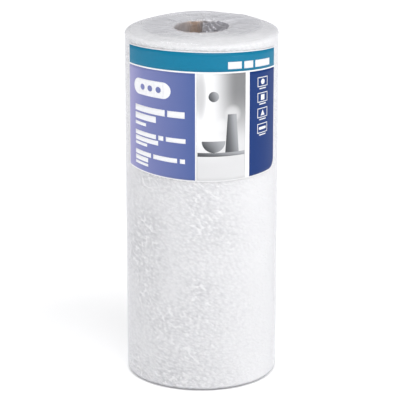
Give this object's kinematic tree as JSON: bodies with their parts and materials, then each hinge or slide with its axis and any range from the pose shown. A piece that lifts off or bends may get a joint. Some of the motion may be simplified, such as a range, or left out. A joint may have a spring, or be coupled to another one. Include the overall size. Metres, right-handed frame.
{
  "type": "paper towel roll",
  "caption": "Upright paper towel roll on a cardboard core, wrapped in clear film with a plain printed label.",
  "frame": {"origin": "centre of the lower end, on the surface that the roll stands on", "axes": "+Z along the core's axis, up; the label faces -Y and +X is to its right"},
  "size_m": [0.12, 0.1205, 0.2807],
  "materials": {
    "core_board": "brown spiral-wound board",
    "towel_paper": "soft embossed white tissue",
    "clear_film": "clear glossy film",
    "white_ink": "white ink printed on film",
    "teal_ink": "teal ink printed on film",
    "blue_ink": "soft blue ink printed on film",
    "pale_grey_ink": "pale grey ink printed on film",
    "dark_grey_ink": "dark grey ink printed on film",
    "navy_ink": "navy ink printed on film",
    "mark_ink": "white ink printed on film"
  },
  "bodies": {
    "root": {"core_tube": "core_board", "towel_roll": "towel_paper", "film_wrapper": "clear_film", "print_white_ground": "white_ink", "print_teal_band": "teal_ink", "print_blue_panel": "blue_ink", "print_picture_panel": "pale_grey_ink", "print_picture_shapes": "dark_grey_ink", "print_navy_strip": "navy_ink", "print_white_marks": "mark_ink"}
  },
  "joints": []
}
